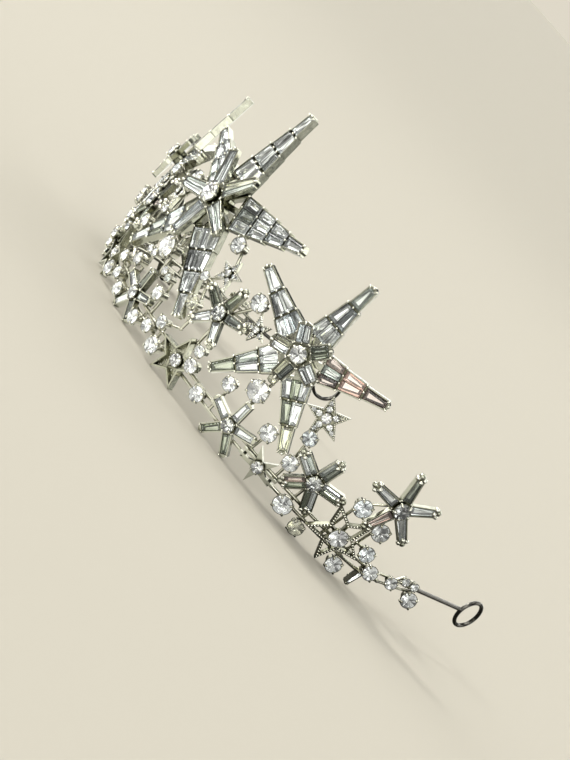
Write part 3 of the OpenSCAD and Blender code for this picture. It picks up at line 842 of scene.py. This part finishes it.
def casting_skin():
    """Skin of a plated casting: worn round at its edges and finely uneven."""
    group, start, end = new_group(
        "casting_skin",
        [("Scale", "NodeSocketFloat", 600.0), ("Smoothest", "NodeSocketFloat", 0.1),
         ("Roughest", "NodeSocketFloat", 0.3), ("Edge", "NodeSocketFloat", 0.12),
         ("Relief", "NodeSocketFloat", 0.02)],
        [("Roughness", "NodeSocketFloat"), ("Normal", "NodeSocketVector")],
    )
    link = group.links.new
    place = add_node(group, "ShaderNodeNewGeometry", (-700, 100))
    waves = add_node(group, "ShaderNodeTexNoise", (-500, 100))
    waves.inputs["Detail"].default_value = 4
    link(place.outputs["Position"], waves.inputs["Vector"])
    link(start.outputs["Scale"], waves.inputs["Scale"])
    rough = add_node(group, "ShaderNodeMapRange", (-200, 100))
    rough.inputs["From Min"].default_value = 0.3
    rough.inputs["From Max"].default_value = 0.7
    link(waves.outputs["Fac"], rough.inputs["Value"])
    link(start.outputs["Smoothest"], rough.inputs["To Min"])
    link(start.outputs["Roughest"], rough.inputs["To Max"])
    link(rough.outputs["Result"], end.inputs["Roughness"])
    radius = add_node(group, "ShaderNodeMath", (-700, -250), operation="MULTIPLY")
    radius.inputs[1].default_value = MM
    link(start.outputs["Edge"], radius.inputs[0])
    edges = add_node(group, "ShaderNodeBevel", (-500, -250), samples=4)
    link(radius.outputs[0], edges.inputs["Radius"])
    height = add_node(group, "ShaderNodeMath", (-700, -420), operation="MULTIPLY")
    height.inputs[1].default_value = MM
    link(start.outputs["Relief"], height.inputs[0])
    relief = add_node(group, "ShaderNodeBump", (-200, -250))
    link(height.outputs[0], relief.inputs["Distance"])
    link(waves.outputs["Fac"], relief.inputs["Height"])
    link(edges.outputs["Normal"], relief.inputs["Normal"])
    link(relief.outputs["Normal"], end.inputs["Normal"])
    return group


def new_material(name):
    """Material with its tree and its one shader."""
    material = bpy.data.materials.new(name)
    material.use_nodes = True
    tree = material.node_tree
    return material, tree, tree.nodes["Principled BSDF"]


def use_group(tree, group, place, **values):
    """Places a node group in a material and sets its inputs."""
    made = add_node(tree, "ShaderNodeGroup", place, node_tree=group)
    for label, value in values.items():
        made.inputs[label.replace("_", " ")].default_value = value
    return made


def plated_metal(name, bright, recess, depth, smoothest, roughest, relief, edge, scale=600):
    """Plated metal with painted shade in its recesses. Its edges are worn round by that many
    millimetres.
    """
    material, tree, shader = new_material(name)
    link = tree.links.new
    shader.inputs["Metallic"].default_value = 1
    colours = {"Open_Color": (*bright, 1), "Recess_Color": (*recess, 1)}
    # Occlusion sets where the painted shade falls
    openness = add_node(tree, "ShaderNodeAmbientOcclusion", (-750, 200), samples=6)
    openness.inputs["Distance"].default_value = RECESS_REACH * MM
    shade = use_group(tree, SHADE, (-500, 200), Depth=depth, **colours)
    link(openness.outputs["AO"], shade.inputs["Openness"])
    wear = {"Smoothest": smoothest, "Roughest": roughest, "Edge": edge, "Relief": relief}
    skin = use_group(tree, SKIN, (-500, -150), Scale=scale, **wear)
    link(shade.outputs["Color"], shader.inputs["Base Color"])
    link(skin.outputs["Roughness"], shader.inputs["Roughness"])
    link(skin.outputs["Normal"], shader.inputs["Normal"])
    return material


def clear_crystal(name, tint, ior):
    """Polished clear glass of a stone's top."""
    material, tree, shader = new_material(name)
    shader.inputs["Base Color"].default_value = (*tint, 1)
    shader.inputs["Transmission Weight"].default_value = 1
    shader.inputs["IOR"].default_value = ior
    shader.inputs["Roughness"].default_value = 0.01
    return material


def silvered_back(name, bright, painted_glow, smoothest, roughest):
    """Silvered back in the stone's own tone and painted facet shades, with a faint painted emission
    that stands in for the light caught in the stone.
    """
    material, tree, shader = new_material(name)
    link = tree.links.new
    shader.inputs["Metallic"].default_value = 1
    # Painted emission: the back shines in its tone though it is no lamp
    shader.inputs["Emission Strength"].default_value = painted_glow
    tone = add_node(tree, "ShaderNodeAttribute", (-500, 100), attribute_name="stone_tone_and_painted_sparkle")
    mixed = add_node(tree, "ShaderNodeMix", (-250, 100), data_type="RGBA", blend_type="MULTIPLY")
    mixed.inputs["Factor"].default_value = 1
    mixed.inputs["B"].default_value = (*bright, 1)
    link(tone.outputs["Color"], mixed.inputs["A"])
    link(mixed.outputs["Result"], shader.inputs["Base Color"])
    link(mixed.outputs["Result"], shader.inputs["Emission Color"])
    cloud = add_node(tree, "ShaderNodeTexNoise", (-500, -200))
    cloud.inputs["Scale"].default_value = 900
    rough = add_node(tree, "ShaderNodeMapRange", (-250, -200))
    rough.inputs["To Min"].default_value = smoothest
    rough.inputs["To Max"].default_value = roughest
    link(cloud.outputs["Fac"], rough.inputs["Value"])
    link(rough.outputs["Result"], shader.inputs["Roughness"])
    return material


# How far the metal looks for neighbours that shade it, in millimetres
RECESS_REACH = 1.2
SHADE = recess_shade()
SKIN = casting_skin()
# Painted shade in the recesses of the metals below: this olive, or the darker colour given second
OLIVE_PAINTED_SHADE = (0.09, 0.09, 0.05)
SETTING_SILVER = plated_metal(
    "setting_silver", (0.46, 0.46, 0.37), OLIVE_PAINTED_SHADE,
    depth=2.2, smoothest=0.08, roughest=0.24, relief=0.02, edge=0.16,
)
BASE_SILVER = plated_metal(
    "base_silver", (0.52, 0.51, 0.42), OLIVE_PAINTED_SHADE,
    depth=2, smoothest=0.1, roughest=0.26, relief=0.03, edge=0.1,
)
WORN_SILVER = plated_metal(
    "worn_silver", (0.40, 0.40, 0.31), OLIVE_PAINTED_SHADE,
    depth=1.8, smoothest=0.14, roughest=0.3, relief=0.04, edge=0.16,
)
CLAW_SILVER = plated_metal(
    "claw_silver", (0.82, 0.81, 0.71), (0.12, 0.11, 0.05),
    depth=1.2, smoothest=0.06, roughest=0.18, relief=0.01, edge=0.05,
)
ROUND_CLAW = plated_metal(
    "cup_claw_silver", (0.52, 0.51, 0.42), OLIVE_PAINTED_SHADE,
    depth=1.6, smoothest=0.08, roughest=0.2, relief=0.01, edge=0.05,
)
END_STEEL = plated_metal(
    "end_wire_steel", (0.12, 0.115, 0.1), (0.03, 0.03, 0.03),
    depth=1.0, smoothest=0.08, roughest=0.2, relief=0.01, edge=0.1, scale=250,
)
# Stone finishes: clear tops, and silvered backs with painted emission and painted facet shades
BAGUETTE = (
    clear_crystal("baguette_glass", (0.99, 1, 0.995), ior=1.55),
    silvered_back("baguette_foil", (0.95, 0.96, 0.94), painted_glow=0.09, smoothest=0.01, roughest=0.08),
)
BRILLIANT = (
    clear_crystal("round_glass", (0.99, 0.995, 1), ior=1.6),
    silvered_back("round_foil", (0.98, 0.98, 0.95), painted_glow=0.3, smoothest=0.05, roughest=0.16),
)

# Castings, wires and cups keep the frame's shapes, and take their finish here
for name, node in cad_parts.items():
    finish = SETTING_SILVER
    if name.startswith("base"):
        finish = BASE_SILVER
    elif name.startswith("end_wire"):
        finish = END_STEEL
    elif name.startswith(("relief", "open")):
        finish = WORN_SILVER
    node.data.materials.clear()
    node.data.materials.append(finish)

# Large stars
for side, star in (("centre", CENTRE_STAR), ("left", SIDE_STAR), ("right", SIDE_STAR)):
    mirrored = side == "right"
    bench = Bench(mirrored)
    large_star_stones(bench, star, CENTRE_ARMS if side == "centre" else SIDE_ARMS)
    bench.make(f"{side}_star_baguettes", "baguette_crystal", BAGUETTE, [f"{side}_star_stones"])
    bench = Bench(mirrored)
    overlay_stones(bench, star)
    bench.make(f"{side}_overlay_baguettes", "baguette_crystal", BAGUETTE, [f"{side}_overlay_stones"])
    bench = Bench(mirrored)
    bench.seat = seat_in_front(star)
    cut_brilliant(bench, star.hub, hub_level(star.hub))
    bench.make(f"{side}_hub_brilliant", "round_crystal", BRILLIANT, [f"{side}_hub_stone"])
    bench = Bench(mirrored)
    drop = CENTRE_DROP if side == "centre" else SIDE_DROP
    bench.seat = seat_on_wall(drop.s, drop.h)
    cut_brilliant(bench, drop.d, girdle(drop.d))
    bench.make(f"{side}_drop_brilliant", "round_crystal", BRILLIANT, [f"{side}_drop_stone"])
    bench = Bench(mirrored)
    large_star_fittings(bench, star)
    bench.make(f"{side}_star_claws", "setting_metal", [CLAW_SILVER])

# Small stars with baguettes
bench = Bench()
small_star_stones(bench, LOW_CENTRE)
bench.make("low_centre_cut_stones", "baguette_crystal", BAGUETTE, ["low_centre_star_stones"])
bench = Bench()
small_star_fittings(bench, LOW_CENTRE)
bench.make("low_centre_claws", "setting_metal", [CLAW_SILVER])
SMALL_STARS = {"low": LOW_SIDE, "ball": BALL_SIDE, "leaf": LEAF_SIDE, "end": END_SIDE}
for side in ("left", "right"):
    for kind, star in SMALL_STARS.items():
        bench = Bench(side == "right")
        small_star_stones(bench, star)
        replaced = [f"{kind}_star_stones_{side}"]
        bench.make(f"{kind}_cut_stones_{side}", "baguette_crystal", BAGUETTE, replaced)
        bench = Bench(side == "right")
        small_star_fittings(bench, star)
        bench.make(f"{kind}_claws_{side}", "setting_metal", [CLAW_SILVER])

# Round stones and their claws
front_stones = Bench()
front_claws = Bench()
for mirrored in (False, True):
    front_stones.mirrored = mirrored
    front_claws.mirrored = mirrored
    set_stones(front_stones, FRONT_STONES)
    set_claws(front_claws, FRONT_STONES)
    for plate in (RELIEF_SIDE, DOTTED_SIDE):
        plate_stone(front_stones, plate)
        plate_claws(front_claws, plate)
    for bench in (front_stones, front_claws):
        bench.seat = seat_on_wall(RELIEF_STONE.s, RELIEF_STONE.h, RELIEF_OUT)
    cut_brilliant(front_stones, RELIEF_STONE.d, girdle(RELIEF_STONE.d))
    bend_claws(front_claws, RELIEF_STONE.d, girdle(RELIEF_STONE.d), CUP_CLAWS, CUP_CLAW_TURN)
set_claws(front_claws, [CENTRE_DROP])
front_stones.make("front_brilliants", "round_crystal", BRILLIANT, ["round_stones_front"])
front_claws.make("front_claws", "base_metal", [ROUND_CLAW])
for side in ("left", "right"):
    stones = Bench(side == "right")
    claws = Bench(side == "right")
    set_stones(stones, SHOULDER_STONES + SIDE_STONES)
    set_claws(claws, SHOULDER_STONES + SIDE_STONES + [SIDE_DROP])
    for plate in (PAVED_SIDE, HIGH_SIDE, BAR_SIDE):
        plate_stone(stones, plate)
        plate_claws(claws, plate)
    stones.seat = seat_on_wall(OPEN_SIDE.s, OPEN_SIDE.h)
    claws.seat = stones.seat
    cut_brilliant(stones, OPEN_SIDE.hub, girdle(OPEN_SIDE.hub))
    bend_claws(claws, OPEN_SIDE.hub, girdle(OPEN_SIDE.hub), CUP_CLAWS, CUP_CLAW_TURN)
    stones.seat = seat_on_wall(*DOWN_PLACE, DOWN_OUT) @ spin(-90)
    claws.seat = stones.seat
    cut_row(stones, DOWN_ROW, SMALL_T)
    row_beads(claws, [DOWN_ROW], SMALL_T, DOWN_HEAD)
    stones.make(f"{side}_brilliants", "round_crystal", BRILLIANT, [f"round_stones_{side}"])
    claws.make(f"{side}_claws", "base_metal", [ROUND_CLAW])

# Tiny stones, grains and milled edges of the flat stars
for side in ("left", "right"):
    stones = Bench(side == "right")
    grains = Bench(side == "right")
    for plate in (PAVED_SIDE, HIGH_SIDE, DOTTED_SIDE):
        pave(stones, grains, plate)
    stones.make(f"paved_stones_{side}", "round_crystal", BRILLIANT)
    grains.make(f"milled_edges_{side}", "setting_metal", [CLAW_SILVER])
    grains = Bench(side == "right")
    relief_face(grains, RELIEF_SIDE)
    mill_edge(grains, OPEN_SIDE, OPEN_WAIST, share=0.9, level=1.6, radius=0.42, pitch=0.95)
    grains.make(f"worn_grains_{side}", "setting_metal", [CLAW_SILVER])

# Floor, in metres, and its paint as the eye sees it, and the painted reflection of dark and bright
# panels that the metal and the stones see in it
FLOOR_R = 12
FLOOR_SIDES = 96
FLOOR_GAP = 0.00002
FLOOR_PAINT = (0.455, 0.425, 0.355)
FLOOR_REFLECTION_DARK = (0.04, 0.038, 0.028)
FLOOR_REFLECTION_BRIGHT = (0.95, 0.94, 0.9)


def room_panels():
    """Bright and dark panels, as a room with windows shows in anything that mirrors it."""
    group, start, end = new_group(
        "room_panels",
        [("Place", "NodeSocketVector", (0, 0, 0)), ("Scale", "NodeSocketFloat", 2.0),
         ("Dark Color", "NodeSocketColor", (0, 0, 0, 1)),
         ("Bright Color", "NodeSocketColor", (1, 1, 1, 1))],
        [("Color", "NodeSocketColor")],
    )
    link = group.links.new
    patches = add_node(group, "ShaderNodeTexNoise", (-600, 0))
    patches.inputs["Detail"].default_value = 1
    link(start.outputs["Place"], patches.inputs["Vector"])
    link(start.outputs["Scale"], patches.inputs["Scale"])
    edge = add_node(group, "ShaderNodeMapRange", (-350, 0))
    edge.inputs["From Min"].default_value = 0.5
    edge.inputs["From Max"].default_value = 0.57
    link(patches.outputs["Fac"], edge.inputs["Value"])
    mixed = add_node(group, "ShaderNodeMix", (-100, 0), data_type="RGBA")
    link(edge.outputs["Result"], mixed.inputs["Factor"])
    link(start.outputs["Dark Color"], mixed.inputs["A"])
    link(start.outputs["Bright Color"], mixed.inputs["B"])
    link(mixed.outputs["Result"], end.inputs["Color"])
    return group


def pale_floor():
    """Wide pale floor just under the tiara. What mirrors it sees painted reflections of panels in it,
    like the room.
    """
    angles = [2 * math.pi * k / FLOOR_SIDES for k in range(FLOOR_SIDES)]
    rim = [(FLOOR_R * math.cos(a), FLOOR_R * math.sin(a), 0) for a in angles]
    mesh = bpy.data.meshes.new("floor")
    mesh.from_pydata(rim, [], [tuple(range(FLOOR_SIDES))])
    floor = bpy.data.objects.new("floor", mesh)
    floor.location.z = cad_low.z - FLOOR_GAP
    bpy.context.scene.collection.objects.link(floor)
    paint, tree, shader = new_material("pale_floor")
    link = tree.links.new
    shader.inputs["Roughness"].default_value = 0.8
    shader.inputs["Specular IOR Level"].default_value = 0.2
    # Camera and diffuse rays see the plain paint, and mirror rays see painted reflections of panels
    path = add_node(tree, "ShaderNodeLightPath", (-700, 200))
    seen = add_node(tree, "ShaderNodeMath", (-500, 200), operation="MAXIMUM")
    link(path.outputs["Is Camera Ray"], seen.inputs[0])
    link(path.outputs["Is Diffuse Ray"], seen.inputs[1])
    place = add_node(tree, "ShaderNodeNewGeometry", (-900, -100))
    tones = {"Scale": 5, "Dark_Color": (*FLOOR_REFLECTION_DARK, 1), "Bright_Color": (*FLOOR_REFLECTION_BRIGHT, 1)}
    mirrored = use_group(tree, PANELS, (-500, -100), **tones)
    link(place.outputs["Position"], mirrored.inputs["Place"])
    paints = add_node(tree, "ShaderNodeMix", (-250, 200), data_type="RGBA")
    paints.inputs["B"].default_value = (*FLOOR_PAINT, 1)
    link(mirrored.outputs["Color"], paints.inputs["A"])
    link(seen.outputs[0], paints.inputs["Factor"])
    link(paints.outputs["Result"], shader.inputs["Base Color"])
    mesh.materials.append(paint)


PANELS = room_panels()
pale_floor()

# Light: a room with panels that the metal and the stones mirror, and a soft key light
ROOM_BRIGHT = (2.7, 2.7, 2.64)
ROOM_DARK = (0.03, 0.034, 0.03)
ROOM_PLAIN = (0.74, 0.69, 0.58)


def studio_room():
    """Room that is plain to the eye, and in panels for what mirrors it."""
    world = bpy.data.worlds.new("studio")
    world.use_nodes = True
    tree = world.node_tree
    link = tree.links.new
    place = add_node(tree, "ShaderNodeTexCoord", (-900, 0))
    tones = {"Scale": 2.2, "Dark_Color": (*ROOM_DARK, 1), "Bright_Color": (*ROOM_BRIGHT, 1)}
    room = use_group(tree, PANELS, (-600, 0), **tones)
    link(place.outputs["Generated"], room.inputs["Place"])
    path = add_node(tree, "ShaderNodeLightPath", (-600, 300))
    shown = add_node(tree, "ShaderNodeMix", (-250, 0), data_type="RGBA")
    shown.inputs["B"].default_value = (*ROOM_PLAIN, 1)
    link(path.outputs["Is Camera Ray"], shown.inputs["Factor"])
    link(room.outputs["Color"], shown.inputs["A"])
    link(shown.outputs["Result"], tree.nodes["Background"].inputs["Color"])
    bpy.context.scene.world = world


def aim_light(name, kind, place, power, tint=(1, 1, 1)):
    """Light that faces the middle of the tiara from a place."""
    data = bpy.data.lights.new(name, kind)
    data.energy = power
    data.color = tint
    light = bpy.data.objects.new(name, data)
    light.location = place
    facing = (cad_low + cad_high) / 2 - Vector(place)
    light.rotation_euler = facing.to_track_quat("-Z", "Y").to_euler()
    bpy.context.scene.collection.objects.link(light)
    return data


studio_room()
KEY_SPREAD = math.radians(9)
key = aim_light("key_light", "SUN", place=(-1.2, -1.3, 1.5), power=1.3, tint=(1, 0.985, 0.96))
key.angle = KEY_SPREAD
SoftLight = namedtuple("SoftLight", "place size power")
SOFT_LIGHTS = {
    "front_panel": SoftLight((-1.1, -0.9, 0.5), 0.9, 11),
    "side_panel": SoftLight((1.3, -0.7, 0.7), 0.2, 1.5),
    "back_panel": SoftLight((-0.6, 1.2, 0.8), 0.25, 1.5),
}
for name, soft in SOFT_LIGHTS.items():
    panel = aim_light(name, "AREA", soft.place, soft.power)
    panel.shape = "DISK"
    panel.size = soft.size
bpy.context.scene.view_settings.view_transform = "Standard"

# Camera at the photograph's angle: its azimuth, its height angle, its roll, its distance and its aim
AZIMUTH = math.radians(50.16)
ELEVATION = math.radians(8.72)
ROLL = math.radians(48.8)
DISTANCE = 970.24
AIM_ACROSS = -15.95
AIM_UP = 16.21
FOCAL_PIXELS = 3095
IMAGE_HEIGHT = 760
SENSOR = 36
CLIP_START = 0.05
CLIP_END = 60

level_back = Vector((math.sin(AZIMUTH), -math.cos(AZIMUTH), 0))
back = level_back * math.cos(ELEVATION) + Vector((0, 0, math.sin(ELEVATION)))
right = Vector((math.cos(AZIMUTH), math.sin(AZIMUTH), 0))
up = back.cross(right)
aim = right * AIM_ACROSS + up * AIM_UP + Vector((0, ORIGIN_Y, 0))
view_x = right * math.cos(ROLL) + up * math.sin(ROLL)
view_y = back.cross(view_x)
camera_data = bpy.data.cameras.new("camera")
camera_data.lens = FOCAL_PIXELS * SENSOR / IMAGE_HEIGHT
camera_data.sensor_width = SENSOR
camera_data.clip_start = CLIP_START
camera_data.clip_end = CLIP_END
camera = bpy.data.objects.new("camera", camera_data)
turned = Matrix((view_x, view_y, back)).transposed().to_4x4()
camera.matrix_world = Matrix.Translation((aim + back * DISTANCE) * MM) @ turned
bpy.context.scene.collection.objects.link(camera)
bpy.context.scene.camera = camera
